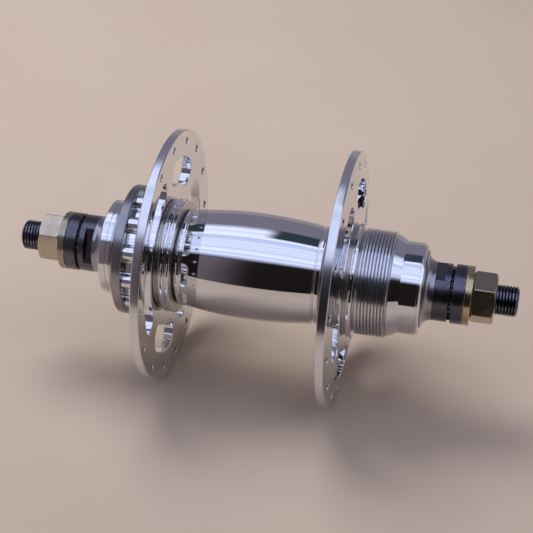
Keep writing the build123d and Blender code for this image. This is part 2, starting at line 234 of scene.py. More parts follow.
# %% Light and walls
lowest_height = 0.05
panel_across = ((-1.5, -0.9), (1.75, 1.2))
panel_along = ((-1.3, -0.95), (0.6, 0.35))
bar_across = ((-0.15, -0.07), (0.9, 0.8))
bar_along = ((0.06, 0.12), (0.62, 0.5))
streak_scale = 5.0
streak_fade = (0.35, 0.65)
light_colours = ((0.6, 0.68, 1.0), (0.95, 1.02, 1.35))
bar_colour = (0.03, 0.045, 0.06)
front_wall_fade = (-0.35, 0.0)
front_wall_colours = ((0.085, 0.088, 0.14), (0.018, 0.014, 0.013))
back_wall_fade = (-0.35, 0.45)
back_wall_colour = (0.19, 0.18, 0.235)
low_wall_fade = (0.2, 0.34)
low_wall_colour = (0.29, 0.27, 0.3)


def soft_frame(tree, across, across_edges, along, along_edges):
    """1 in a rectangle on the ceiling and 0 round it, with a soft step at all four edges."""
    shares = []
    for place, edges in ((across, across_edges), (along, along_edges)):
        steps = [soft_step(tree, place, *edge) for edge in edges]
        shares.append(calculate(tree, "MULTIPLY", *steps))
    return calculate(tree, "MULTIPLY", *shares)


def make_studio():
    world = bpy.data.worlds.new("studio")
    world.use_nodes = True
    scene.world = world
    tree = world.node_tree
    direction = add_node(tree, "TexCoord").outputs["Generated"]
    x, y, z = add_node(tree, "SeparateXYZ", Vector=direction).outputs
    height = calculate(tree, "MAXIMUM", z, lowest_height)
    across = calculate(tree, "DIVIDE", x, height)
    along = calculate(tree, "DIVIDE", y, height)
    streaks = add_node(tree, "TexNoise", Scale=streak_scale, Detail=3.0)
    streaks.noise_dimensions = "1D"
    fill(tree, streaks, W=along)
    light = mix_colour(tree, soft_step(tree, streaks.outputs["Fac"], *streak_fade), *light_colours)
    front = mix_colour(tree, soft_step(tree, x, *front_wall_fade), *front_wall_colours)
    walls = mix_colour(tree, soft_step(tree, y, *back_wall_fade), front, back_wall_colour)
    panel = soft_frame(tree, across, panel_across, along, panel_along)
    lit = mix_colour(tree, panel, walls, light)
    bar = soft_frame(tree, across, bar_across, along, bar_along)
    barred = mix_colour(tree, bar, lit, bar_colour)
    above = soft_step(tree, z, *low_wall_fade)
    fill(tree, tree.nodes["Background"], Color=mix_colour(tree, above, low_wall_colour, barred))
    return tree


print("studio of", len(make_studio().nodes), "nodes")

# %% [markdown]
# The world lights softly from everywhere, so three lamps give the shadows a direction: a key above and
# behind on the left, and a weaker one low on either side. The key is kept out of the reflections, where
# it would be a hard white square.

# %% Lamps
lamps = {
    "key": ((-0.3, 0.3, 0.7), (0.5, 0.4), 4.6, (0.9, 0.94, 1.0)),
    "left_card": ((-0.8, 0.15, 0.35), (0.35, 0.5), 0.5, (0.8, 0.87, 1.0)),
    "right_card": ((0.85, 0.1, 0.3), (0.45, 0.4), 0.45, (0.95, 0.95, 1.0)),
}


def soft_lamp(name, place, size, watts, colour):
    """A flat lamp that faces the middle of the hub."""
    light = bpy.data.lights.new(name, "AREA")
    light.shape = "RECTANGLE"
    light.size, light.size_y = size
    light.energy = watts
    light.color = colour
    lamp = bpy.data.objects.new(name, light)
    lamp.location = place
    lamp.rotation_mode = "QUATERNION"
    lamp.rotation_quaternion = (-Vector(place)).to_track_quat("-Z", "Y")
    scene.collection.objects.link(lamp)
    return lamp


for name, recipe in lamps.items():
    lamp = soft_lamp(name, *recipe)
    lamp.visible_glossy = name != "key"
scene.view_settings.view_transform = "Standard"
print("lamps:", ", ".join(lamps))

# %% [markdown]
# Every finish here is a metal that was turned in a lathe. The tool leaves rings round the axis that show
# as a faint grain, and on a mirror they are all but rubbed out. A picture texture could carry that, but
# the grain is a simple rule: it changes along the axis and with the distance from it, and hardly at all
# round it. So the shader feeds those two lengths to a noise. It holds on any turned piece, at any size
# and from every side.

# %% Turned-metal shader
rings_per_metre = 5200.0
ring_bump = 0.000004
least_sheen, most_sheen = 0.8, 1.25


def along_and_out(tree, point):
    """The place along the axis and the distance from it, as one vector."""
    x, y, z = add_node(tree, "SeparateXYZ", Vector=point).outputs
    reach = add_node(tree, "VectorMath")
    reach.operation = "LENGTH"
    feed(tree, reach.inputs[0], add_node(tree, "CombineXYZ", Y=y, Z=z).outputs["Vector"])
    return add_node(tree, "CombineXYZ", X=x, Y=reach.outputs["Value"]).outputs["Vector"]


def turned_metal(name, colour, second, roughness, grain, smudge=60.0):
    material, tree, shader = node_material(name)
    point = object_point(tree)
    fine = noise(tree, along_and_out(tree, point), rings_per_metre)
    broad = noise(tree, point, smudge, detail=4.0)
    rings = spread(tree, fine, -0.5 * grain, 0.5 * grain)
    sheen = spread(tree, broad, roughness * least_sheen, roughness * most_sheen)
    bump = add_node(tree, "Bump", Strength=grain, Distance=ring_bump, Height=fine)
    fill(tree, shader, Metallic=1.0,
         Base_Color=mix_colour(tree, spread(tree, broad, 0, 1), colour, second),
         Roughness=calculate(tree, "ADD", rings, sheen),
         Normal=bump.outputs["Normal"])
    return material


finishes = {
    "polish": turned_metal("mirror_polish", (0.86, 0.87, 0.89), (0.82, 0.83, 0.86), 0.045, 0.012, 35.0),
    "rim": turned_metal("rim_satin", (0.82, 0.83, 0.86), (0.76, 0.77, 0.8), 0.2, 0.06, 35.0),
    "machined": turned_metal("machined_alloy", (0.72, 0.72, 0.76), (0.64, 0.64, 0.68), 0.2, 0.08),
    "lockring": turned_metal("lockring_satin", (0.38, 0.375, 0.39), (0.31, 0.305, 0.32), 0.26, 0.14),
    # Dull like an unpolished floor and darker in colour: painted shade for the narrow grooves.
    "groove": turned_metal("groove_unpolished_shaded", (0.6, 0.56, 0.53), (0.5, 0.465, 0.44), 0.24, 0.12),
    "cap": turned_metal("dust_cap_grey", (0.42, 0.42, 0.47), (0.36, 0.36, 0.4), 0.22, 0.08),
    "bearing": turned_metal("bearing_steel", (0.72, 0.72, 0.74), (0.66, 0.66, 0.69), 0.1, 0.04),
    "sleeve": turned_metal("sleeve_alloy", (0.68, 0.68, 0.69), (0.6, 0.6, 0.61), 0.28, 0.15),
}
print("turned finishes:", ", ".join(finishes))

# %% [markdown]
# The axle, the adjusting nuts and the locknuts are blackened steel. The black is a thin oxide that keeps
# a sheen and rubs through on corners first. It could be a plain dark paint, but the rubbed and bright
# corners are what tells steel from plastic. Each mesh below stores how sharp it is at every vertex in an
# attribute called edge, and the shader paints pale steel where that is high and a noise agrees. That pale
# colour is partly rubbed-through oxide and partly a painted highlight: the bright line that light draws
# along an edge.
# The axle nuts and washers are zinc plated with a thin yellow coat, which is uneven: tan in one place and
# nearly silver in another.

# %% Blackened and plated steel
coat_clouds = 160.0
rub_and_glint_marks = 900.0
rub_and_glint_range = (0.45, 0.62)
coats = {
    "black": ("black_oxide", (0.145, 0.142, 0.178), (0.11, 0.107, 0.135), (0.55, 0.55, 0.6), 0.24,
              0.08, 0.6),
    "axle": ("axle_black", (0.12, 0.122, 0.15), (0.085, 0.087, 0.11), (0.42, 0.43, 0.5), 0.22, 0.08, 0.6),
    "nut": ("nut_plate", (0.6, 0.55, 0.45), (0.5, 0.43, 0.31), (0.8, 0.78, 0.73), 0.22, 0.1, 0.7),
    "washer": ("washer_gold", (0.62, 0.51, 0.33), (0.52, 0.41, 0.25), (0.78, 0.72, 0.6), 0.22, 0.12, 0.7),
    "dull_washer": ("washer_dull", (0.46, 0.41, 0.33), (0.36, 0.31, 0.24), (0.75, 0.72, 0.66), 0.22,
                    0.12, 0.7),
    "lock_washer": ("lock_washer_steel", (0.09, 0.088, 0.1), (0.06, 0.058, 0.07), (0.55, 0.55, 0.57), 0.3,
                    0.08, 0.5),
}


def coated_steel(name, coat, second, bare_and_glint, roughness, grain, wear_and_glint):
    material = turned_metal(name, coat, second, roughness, grain, coat_clouds)
    tree = material.node_tree
    base = tree.nodes["Principled BSDF"].inputs["Base Color"]
    edge = add_node(tree, "Attribute")
    edge.attribute_name = "edge"
    # Pale steel where the edge value is high and the noise agrees: partly rubbed corners, partly painted
    # edge highlight.
    rub_and_glint_spots = spread(tree, noise(tree, object_point(tree), rub_and_glint_marks), 0, wear_and_glint, *rub_and_glint_range)
    worn_and_glinting = calculate(tree, "MULTIPLY", edge.outputs["Fac"], rub_and_glint_spots)
    feed(tree, base, mix_colour(tree, worn_and_glinting, base.links[0].from_socket, bare_and_glint))
    return material


for finish, recipe in coats.items():
    finishes[finish] = coated_steel(*recipe)
print("finishes so far:", len(finishes))

# %% [markdown]
# Nothing in a hub has a knife edge: the lathe hand breaks every corner. On shiny metal that tiny round is
# the bright line that makes an edge readable, so outlines get their corners rounded before they are
# turned. A bevel modifier could do it after the fact, but this way the mesh stays an even grid.
# An outline is a list of corners, each with its x, its radius and its rounding in millimetres.

# %% Rounding an outline
least_rounding = 0.01
share_of_side = 0.45


def rounded(corners, steps=4):
    """The outline as (x, radius, edge) rows. The edge is 1 in the middle of a square corner's round."""
    points = []
    for index, (x, radius, wanted) in enumerate(corners):
        here = np.array((x, radius), float)
        before = np.array(corners[index - 1][:2], float) - here
        after = np.array(corners[(index + 1) % len(corners)][:2], float) - here
        long_before, long_after = np.linalg.norm(before), np.linalg.norm(after)
        reach = min(wanted, share_of_side * long_before, share_of_side * long_after)
        if reach < least_rounding:
            points.append((here[0], here[1], 0.0))
            continue
        start = here + before / long_before * reach
        end = here + after / long_after * reach
        turn = abs(before[0] * after[1] - before[1] * after[0]) / long_before / long_after
        for step in range(steps + 1):
            t = step / steps
            spot = start * (1 - t) ** 2 + here * 2 * t * (1 - t) + end * t ** 2
            points.append((spot[0], spot[1], turn * 4 * t * (1 - t)))
    return points


def open_rounded(corners):
    """The same rounding for an open run of corners, whose two ends stay sharp."""
    return rounded([(*corners[0][:2], 0.0), *corners[1:-1], (*corners[-1][:2], 0.0)])


print("a rounded corner becomes", len(rounded([(0, 1, 0), (1, 1, 0.1), (1, 2, 0)])) - 2, "points")

# %% [markdown]
# A lathe spins the work and the tool leaves the same outline all round, so one function can make every
# turned piece: it places copies of the outline at many angles and joins them with quads. Here the outline
# may also change with the angle. That covers a screw thread, whose ridge creeps along as it goes round,
# and a hexagon, whose flats come nearer the axis than its corners. Primitives with modifiers would need a
# boolean for each.

# %% Turning helper
full_round = 288


def even_angles(count=full_round):
    return [2 * math.pi * index / count for index in range(count)]


def tidy(mesh):
    """Merge points that meet, drop faces without area and turn the rest outwards."""
    work = bmesh.new()
    work.from_mesh(mesh)
    bmesh.ops.remove_doubles(work, verts=work.verts, dist=1e-7)
    bmesh.ops.dissolve_degenerate(work, edges=work.edges, dist=1e-8)
    bmesh.ops.recalc_face_normals(work, faces=work.faces)
    work.to_mesh(mesh)
    work.free()
    return mesh


def seam_rows(column):
    """For each row of the last outline, the row of the first one it is joined to."""
    jumps = [int(row[3]) if len(row) > 3 else 0 for row in column]
    targets = []
    for row, jump in enumerate(jumps):
        target = row
        way = 1 if jump > 0 else -1
        while abs(target - row) < abs(jump) and jumps[target + way] == jump:
            target += way
        targets.append(target)
    return targets


def turned(outline, angles=None):
    """A closed skin from an outline, or from a function that gives one for each angle."""
    angles = angles or even_angles()
    columns = [outline(angle) if callable(outline) else outline for angle in angles]
    count = len(columns[0])
    seam = seam_rows(columns[0])
    vertices = [(x * mm, radius * math.cos(angle) * mm, radius * math.sin(angle) * mm)
                for angle, column in zip(angles, columns) for x, radius, *_ in column]
    faces = []
    for first in range(len(angles)):
        last = first == len(angles) - 1
        second = 0 if last else first + 1
        for row in range(count):
            following = (row + 1) % count
            ends = (seam[row], seam[following]) if last else (row, following)
            face = (first * count + row, second * count + ends[0], second * count + ends[1],
                    first * count + following)
            if len(set(face)) > 2:
                faces.append(tuple(dict.fromkeys(face)))
    mesh = bpy.data.meshes.new("turned")
    mesh.from_pydata(vertices, [], faces)
    edge = mesh.attributes.new("edge", "FLOAT", "POINT")
    edge.data.foreach_set("value", np.array([row[2] for column in columns for row in column], np.float32))
    return tidy(mesh)


def piece(name, mesh, body, node, finish, crease=38.0):
    mesh.name = name
    mesh.materials.clear()
    mesh.materials.append(finishes[finish])
    mesh.shade_smooth()
    mesh.set_sharp_from_angle(angle=math.radians(crease))
    made = bpy.data.objects.new(name, mesh)
    scene.collection.objects.link(made)
    even = made.modifiers.new("even_normals", "WEIGHTED_NORMAL")
    even.keep_sharp = True
    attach(made, body)
    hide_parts(node)
    print(name, len(mesh.polygons), "faces")


print("a full round has", full_round, "columns")

# %% [markdown]
# A hole or slot in sheet metal is deburred, which rounds its rim on both faces. The tool that cuts it
# here is a stack of copies of the hole's outline. It has the hole's size through the metal, and flares
# out in a quarter round where it meets each face. Because a dished flange isn't flat, every point of a
# copy takes its depth from the face at its own distance from the axis. A boolean takes the whole stack
# away at once.

# %% Deburring cutter
proud = 0.25
quarter_steps = 5


def outward(points):
    """Outward directions of a closed outline of (y, z) points."""
    flat = np.array(points, float)
    along = np.roll(flat, -1, axis=0) - np.roll(flat, 1, axis=0)
    out = np.stack([along[:, 1], -along[:, 0]], axis=1)
    out /= np.linalg.norm(out, axis=1)[:, None]
    if np.sum(out * (flat - flat.mean(axis=0))) < 0:
        out = -out
    return flat, out


def cutter_layers(points, low_face, high_face, rounding):
    flat, out = outward(points)
    distance = np.linalg.norm(flat, axis=1)
    low, high = low_face(distance), high_face(distance)
    turns = [math.pi / 2 * step / quarter_steps for step in range(quarter_steps + 1)]
    quarter = [(rounding * (1 - math.cos(turn)), rounding * (1 - math.sin(turn))) for turn in turns]
    layers = [(low - proud, rounding + proud)]
    layers += [(low + depth, wider) for depth, wider in quarter]
    layers += [(high - depth, wider) for depth, wider in quarter[::-1]]
    layers += [(high + proud, rounding + proud)]
    return [np.column_stack([x, flat + out * wider]) for x, wider in layers]


def stacked(stacks):
    """One mesh of closed stacks, each a list of layers with equal numbers of points."""
    vertices, faces = [], []
    for layers in stacks:
        start, count = len(vertices), len(layers[0])
        for layer in layers:
            vertices += [tuple(point * mm) for point in layer]
        for level in range(len(layers) - 1):
            for index in range(count):
                a, b = start + level * count, (index + 1) % count
                faces.append((a + index, a + b, a + count + b, a + count + index))
        last = start + (len(layers) - 1) * count
        faces.append(tuple(range(start, start + count)))
        faces.append(tuple(range(last, last + count)))
    mesh = bpy.data.meshes.new("cutters")
    mesh.from_pydata(vertices, [], faces)
    return tidy(mesh)


def cut_with(mesh, stacks):
    """The mesh without what lies in the stacks."""
    base = bpy.data.objects.new("work", mesh)
    tool = bpy.data.objects.new("tool", stacked(stacks))
    scene.collection.objects.link(base)
    scene.collection.objects.link(tool)
    change = base.modifiers.new("cut", "BOOLEAN")
    change.operation = "DIFFERENCE"
    change.solver = "MANIFOLD"
    change.object = tool
    bpy.context.view_layer.update()
    result = bpy.data.meshes.new_from_object(base.evaluated_get(bpy.context.evaluated_depsgraph_get()))
    bpy.data.objects.remove(base)
    bpy.data.objects.remove(tool)
    return result


def on_circle(radius, degrees):
    return radius * math.cos(math.radians(degrees)), radius * math.sin(math.radians(degrees))


def arc_points(middle, radius, turns):
    return [(middle[0] + radius * math.cos(turn), middle[1] + radius * math.sin(turn)) for turn in turns]


print("a cutter stands", proud, "mm proud of each face")

# %% [markdown]
# The shell is the heart of the hub: barrel, two flanges and both threaded ends, turned from one piece of
# alloy and polished like a mirror. It is drawn as one outline, from the left mouth over everything to the
# right mouth and back through the bore. Its ends and its rim come from the frame. The steps in between
# are counted from each end towards the flange, just as a machinist would.

# %% Sizes of the shell


def span(node):
    """The two corners of a CAD node's box, in millimetres."""
    low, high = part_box(node)
    return low / mm, high / mm


shell_low, shell_high = span("hub_shell")
left_end, right_end = shell_low.x, shell_high.x
rim_radius = shell_high.z
barrel_end_radius = 16.2
barrel_crown_radius = 17.85
collar_radius = 19.1
left_steps = {"ring": 2.9, "band": 1.2, "lock_thread": 5.3, "cog_seat": 8.1}
right_steps = {"bevel": 0.7, "fine_groove": 0.3, "neck": 5.6, "taper": 3.5, "thread": 10.264, "groove": 0.9,
               "shoulder": 2.25}
flange_face_left = left_end + sum(left_steps.values())
flange_face_right = right_end - sum(right_steps.values())
flange_middle = (flange_face_left + flange_face_right) / 2
flange_root = (flange_face_right - flange_face_left) / 2
dish_depth = 13.55
outer_slope, inner_slope = 0.117, 0.073
rim_thickness = 2.93
outer_rim = flange_root - outer_slope * dish_depth
inner_rim = outer_rim - rim_thickness
print("flanges", round(2 * inner_rim, 1), "mm apart inside, rim radius", round(rim_radius, 2))

# %% [markdown]
# At the foot of each flange sits a moulding: a broad bead with a fine line round its top, a deep groove
# and a narrow proud ring before the barrel starts. Both feet are the same, so one list of corners serves
# both, measured from the middle between the flanges and mirrored for the left. The large roundings turn
# corners into beads.

# %% Foot of a flange
collar_floor = collar_radius - 1.5
line_floor = collar_radius - 0.65
line_half_width = 0.3
groove_floor = barrel_end_radius - 1.1
ring_radius = barrel_end_radius + 0.1
ring_foot = groove_floor + 0.6
inner_foot = inner_rim + inner_slope * (rim_radius - collar_radius + 0.9)
foot_steps = {"collar": 0.85, "outer_bead": 2.05, "inner_bead": 1.6, "groove": 1.05, "ring": 1.8,
              "line": 0.6}
foot_places = [inner_foot]
for step in foot_steps.values():
    foot_places.append(foot_places[-1] - step)
bead_start, bead_split, bead_end, ring_out, ring_in, barrel_start = foot_places[1:]


def flange_foot():
    return [
        (inner_rim, rim_radius, 0.4),
        (inner_foot + 0.1, collar_floor, 0.15),
        (bead_start + 0.1, collar_floor, 0.15),
        (bead_start, collar_radius, 0.7),
        (bead_split + line_half_width, collar_radius - 0.1, 0.3),
        (bead_split, line_floor, 0.06),
        (bead_split - line_half_width, collar_radius - 0.1, 0.3),
        (bead_end, collar_radius, 0.9),
        (ring_out + 0.35, groove_floor, 0.3),
        (ring_out + 0.05, groove_floor, 0.1),
        (ring_out, ring_radius, 0.6),
        (ring_in, ring_radius, 0.6),
        (ring_in - 0.05, ring_foot, 0.1),
        (ring_in - 0.5, ring_foot, 0.1),
        (barrel_start, barrel_end_radius, 0.1),
    ]


def barrel_arc(count=56):
    rise = barrel_crown_radius - barrel_end_radius
    radius = (barrel_start ** 2 + rise ** 2) / (2 * rise)
    places = [barrel_start * (1 - 2 * step / count) for step in range(1, count)]
    return [(x, barrel_crown_radius - radius + math.sqrt(radius ** 2 - x ** 2), 0.0) for x in places]


print("barrel runs", round(2 * barrel_start, 1), "mm between the rings")

# %% [markdown]
# A screw thread is a V groove that winds round the end. Rings would pass from afar, but up close the eye
# follows a ridge round and notices when it closes on itself. So each angle gets its own outline, with the
# same V profile slid along by the share of a turn. After a full turn every row has moved on by one pitch,
# so the last outline is joined to rows one pitch further on in the first. Each thread row carries that
# jump as its fourth number.
# The ridge is kept under two ramps, so that it starts and ends in a chamfer as a cut thread does. Where a
# tool is drawn out of the cut, the groove fades instead, over the length of the run-out.

# %% Thread outline
samples_per_pitch = 8
thread_shape = (0.0, 0.0, 0.0, 0.0, 0.5, 1.0, 0.5, 0.0)
ramp_slope = 1.3
ramp_height = 0.2
first_cut = 0.25
crest_wear_and_glint = 0.6


def thread_rows(start, end, pitch, crest, depth, feet, angle, run_out=0.0):
    """Rows from start to end. The two feet are the ramps' radii at the start and at the end."""
    way = 1 if end > start else -1
    length = abs(end - start)
    rows = []
    for row in range((int(math.ceil(length / pitch)) + 1) * samples_per_pitch + 1):
        slid = row / samples_per_pitch - 1 + angle / (2 * math.pi)
        x = start + way * min(max(slid * pitch, 0.0), length)
        ramp = min(feet[0] + ramp_slope * abs(x - start), feet[1] + ramp_slope * abs(end - x))
        shape = thread_shape[row % samples_per_pitch]
        fade = min(1.0, first_cut + abs(x - start) / run_out) if run_out else 1.0
        radius = min(crest - depth * shape * fade, ramp)
        # Crests get a high edge value, which a coated finish paints pale: partly wear, partly a painted
        # highlight along each ridge.
        wear_and_glint = crest_wear_and_glint - shape if radius > feet[1] + ramp_height else 0.0
        rows.append((x, radius, wear_and_glint, samples_per_pitch))
    return rows


print("thread rows for one pitch:", samples_per_pitch)

# %% [markdown]
# Outside the left flange come the seat of the sprocket, the fine thread of the lockring and two polished
# rings at the mouth. The seat's lobes could be part of the same outline, but its angles would then have
# to suit the lobes everywhere. They are a piece of their own further down, and here the seat is a plain
# core.

# %% Left end of the shell
bearing_seat_radius = 13.0
mouth_radius = bearing_seat_radius + 0.4
thread_pitch = 1.058
thread_depth = 0.6
left_ring_radius = 15.9
left_ring_floor = left_ring_radius - 0.45
lock_thread_radius = 16.4
lock_thread_foot = left_ring_radius - 0.5
seat_core_radius = 17.6
left_band = left_end + left_steps["ring"]
lock_thread_end = left_band + left_steps["band"]
lock_thread_start = lock_thread_end + left_steps["lock_thread"]


def left_end_rows(angle):
    outer = [
        (left_end, mouth_radius, 0.2),
        (left_end, left_ring_radius - 0.3, 0.3),
        (left_end + 0.3, left_ring_radius, 0.25),
        (left_band - 0.7, left_ring_radius, 0.08),
        (left_band - 0.62, left_ring_floor, 0.04),
        (left_band - 0.2, left_ring_floor, 0.04),
        (left_band - 0.12, left_ring_radius, 0.08),
        (lock_thread_end - 0.25, left_ring_radius, 0.2),
        (lock_thread_end, lock_thread_foot, 0.1),
    ]
    thread = thread_rows(lock_thread_end + 0.05, lock_thread_start, thread_pitch, lock_thread_radius,
                         thread_depth, (lock_thread_foot, lock_thread_foot), angle)
    inner = [
        (lock_thread_start + 0.3, lock_thread_radius - 0.4, 0.05),
        (lock_thread_start + 0.3, seat_core_radius, 0.1),
        (flange_face_left, seat_core_radius, 0.02),
    ]
    return outer, thread, inner


print("lockring thread from", round(lock_thread_end, 2), "to", round(lock_thread_start, 2), "mm")

# %% [markdown]
# Outside the right flange come a shoulder that the freewheel stops against, its thread, a cone and a neck
# with a fine line and a bevelled mouth. Between shoulder and thread lies a relief, which the thread's
# groove fades into.

# %% Right end of the shell
shoulder_radius = 18.8
shoulder_floor = shoulder_radius - 0.6
freewheel_radius = 17.4
relief_radius = 16.5
run_out_radius = 17.1
run_out_length = 2.2
cone_radius = 16.85
neck_radius = 15.1
neck_line_floor = neck_radius - 0.5
shoulder_end = flange_face_right + right_steps["shoulder"]
thread_start = shoulder_end + right_steps["groove"]
thread_end = thread_start + right_steps["thread"]
neck_start = thread_end + right_steps["taper"]
bevel_start = right_end - right_steps["bevel"]


def right_end_rows(angle):
    inner = [
        (flange_face_right, shoulder_floor, 0.1),
        (flange_face_right + 0.75, shoulder_floor, 0.1),
        (flange_face_right + 0.8, shoulder_radius, 0.35),
        (shoulder_end + 0.25, shoulder_radius, 0.35),
        (shoulder_end + 0.3, relief_radius, 0.1),
        (thread_start - 0.05, relief_radius, 0.1),
    ]
    thread = thread_rows(thread_start, thread_end, thread_pitch, freewheel_radius, thread_depth,
                         (run_out_radius, relief_radius), angle, run_out_length)
    outer = [
        (thread_end + 0.15, cone_radius, 0.1),
        (neck_start, neck_radius, 0.25),
        (bevel_start - 0.55, neck_radius, 0.06),
        (bevel_start - 0.5, neck_line_floor, 0.04),
        (bevel_start - 0.04, neck_line_floor, 0.04),
        (bevel_start, neck_radius, 0.1),
        (right_end, neck_radius - 0.7, 0.2),
        (right_end, mouth_radius, 0.2),
    ]
    return inner, thread, outer


print("freewheel thread from", round(thread_start, 2), "to", round(thread_end, 2), "mm")

# %% [markdown]
# The bore steps down from the two bearing seats to a plain hole. The outline closes through it, and the
# whole shell is then one solid skin.

# %% Turn the shell
bore_radius = 12.0
mouth_depth = 1.0
bearing_width = 8.0
mouth_bevel = 0.4
left_seat_end = left_end + mouth_depth + bearing_width
right_seat_end = right_end - mouth_depth - bearing_width


def bore_rows():
    return [
        (right_end - mouth_bevel, bearing_seat_radius, 0.1),
        (right_seat_end, bearing_seat_radius, 0.1),
        (right_seat_end, bore_radius, 0.2),
        (left_seat_end, bore_radius, 0.2),
        (left_seat_end, bearing_seat_radius, 0.1),
        (left_end + mouth_bevel, bearing_seat_radius, 0.1),
    ]


def flange_rows(side):
    face = [
        (side * flange_root, rim_radius - dish_depth, 3.0),
        (side * outer_rim, rim_radius, 0.45),
    ]
    foot = [(side * x, radius, rounding) for x, radius, rounding in flange_foot()]
    return [(flange_middle + x, radius, rounding) for x, radius, rounding in face + foot]


def shell_outline(angle):
    left_outer, left_thread, left_inner = left_end_rows(angle)
    right_inner, right_thread, right_outer = right_end_rows(angle)
    rows = open_rounded(left_outer + left_thread[:1])[:-1]
    rows += left_thread
    rows += open_rounded(left_thread[-1:] + left_inner + flange_rows(-1))[1:]
    rows += [(flange_middle - x, radius, edge) for x, radius, edge in barrel_arc()]
    rows += open_rounded(flange_rows(1)[::-1] + right_inner + right_thread[:1])[:-1]
    rows += right_thread
    rows += open_rounded(right_thread[-1:] + right_outer + bore_rows() + left_outer[:1])[1:-1]
    return rows


shell_mesh = turned(shell_outline)
print("shell skin", len(shell_mesh.vertices), "vertices")

# %% [markdown]
# Only now are the flanges pierced: six curved slots that lighten each one, and sixteen spoke holes near
# its rim, on the left half a space round from the right. The cutters follow the flange's own dish. Its
# outer face is flat near the axis and slopes in towards the rim, and its inner face slopes all the way,
# so two short functions give both faces at any distance from the axis.

# %% Pierce the flanges
slot_count = 6
slot_width = 9.08
slot_half_angle = 14.24
slot_first_angle = 6.24
slot_rounding = 0.35
spoke_count = 16
spoke_radius = rim_radius - 3.75
spoke_hole_radius = 1.25
spoke_hole_points = 32
spoke_rounding = 0.3
slot_radius = (collar_radius + spoke_radius) / 2 - 0.22


def outer_face(distance):
    return flange_root - outer_slope * np.maximum(distance - (rim_radius - dish_depth), 0)


def inner_face(distance):
    return inner_rim + inner_slope * (rim_radius - distance)


def slot_outline(middle, steps=26, cap_steps=16):
    outer, inner = slot_radius + slot_width / 2, slot_radius - slot_width / 2
    sweep = [middle - slot_half_angle + 2 * slot_half_angle * step / steps for step in range(steps + 1)]
    points = [on_circle(outer, turn) for turn in sweep]
    for way, first in ((1, 0), (-1, 180)):
        angle = middle + way * slot_half_angle
        centre = on_circle(slot_radius, angle)
        turns = [math.radians(angle + first + 180 * step / cap_steps) for step in range(1, cap_steps)]
        points += arc_points(centre, slot_width / 2, turns)
        if way > 0:
            points += [on_circle(inner, turn) for turn in sweep[::-1]]
    return points


def flange_cutters(side, first_spoke):
    low, high = (inner_face, outer_face)[::side]

    def low_face(distance):
        return flange_middle + side * low(distance)

    def high_face(distance):
        return flange_middle + side * high(distance)

    holes = []
    for slot in range(slot_count):
        holes.append((slot_outline(slot_first_angle + slot * 360 / slot_count), slot_rounding))
    for spoke in range(spoke_count):
        centre = on_circle(spoke_radius, first_spoke + spoke * 360 / spoke_count)
        holes.append((arc_points(centre, spoke_hole_radius, even_angles(spoke_hole_points)), spoke_rounding))
    return [cutter_layers(outline, low_face, high_face, rounding) for outline, rounding in holes]


shell_mesh = cut_with(shell_mesh, flange_cutters(-1, 0.0) + flange_cutters(1, 180 / spoke_count))
piece("hub_shell_polished", shell_mesh, "hub", "hub_shell", "polish")

# %% [markdown]
# The polisher's wheel doesn't reach everywhere. The threads and the bearing seats stay as the tool left
# them, the floors of the narrow grooves stay dull, and the rims of the flanges are only satin. The groove
# floors also get a darker colour, which is painted shade for the shade that falls in them. The faces
# could be picked by hand, but the finish follows from where a face lies, so a short rule picks it.

# %% Finishes on the shell
shell_finishes = ("polish", "machined", "rim", "groove")
rim_depth = 0.35


def machined(x, radius):
    on_freewheel = thread_start - 0.1 < x < thread_end + 0.1
    on_lock_thread = lock_thread_end < x < lock_thread_start + 0.3 and radius < lock_thread_radius + 0.01
    return radius < bearing_seat_radius + 0.1 or on_freewheel or on_lock_thread


# Faces on the narrow groove floors, which take the darker finish that paints in their shade.
def in_shaded_groove(x, radius):
    out = abs(x - flange_middle)
    on_collar = collar_radius - 1.6 < radius < collar_radius - 0.6
    beside_flange = bead_start + 0.05 < out < inner_foot + 0.15 and on_collar
    beside_ring = ring_out + 0.03 < out < bead_end - 0.03 and radius < collar_radius - 1.2
    at_shoulder = 0.05 < x - flange_face_right < 0.78 and radius < shoulder_radius - 0.1
    before_thread = 0.28 < x - shoulder_end < 0.88 and radius < shoulder_radius - 0.4
    outside = radius > bearing_seat_radius + 0.5
    return outside and (beside_flange or beside_ring or at_shoulder or before_thread)


def shell_finish(x, radius):
    if machined(x, radius):
        return "machined"
    if in_shaded_groove(x, radius):
        return "groove"
    return "rim" if radius > rim_radius - rim_depth else "polish"


for finish in shell_finishes[1:]:
    shell_mesh.materials.append(finishes[finish])
for face in shell_mesh.polygons:
    middle = face.center / mm
    finish = shell_finish(middle.x, math.hypot(middle.y, middle.z))
    face.material_index = shell_finishes.index(finish)
print("finishes on the shell:", ", ".join(shell_finishes))

# %% [markdown]
# The sprocket sits on twelve rounded lobes. Each lobe is a small circle that meets the core in a hollow
# fillet, so the outline is three arcs repeated twelve times. The ring is turned like the rest, but its
# angles are those of the arc points: they crowd together on the steep flanks, where an even spacing would
# leave steps.

# %% Splined seat
lobe_count = 12
lobe_first_angle = 4.6
lobe_radius = 2.5
lobe_tip = 20.8
lobe_root = 18.1
lobe_fillet = 0.9
lobe_ring_radius = lobe_root - 1.2
tip_points, fillet_points, root_points = 12, 7, 4


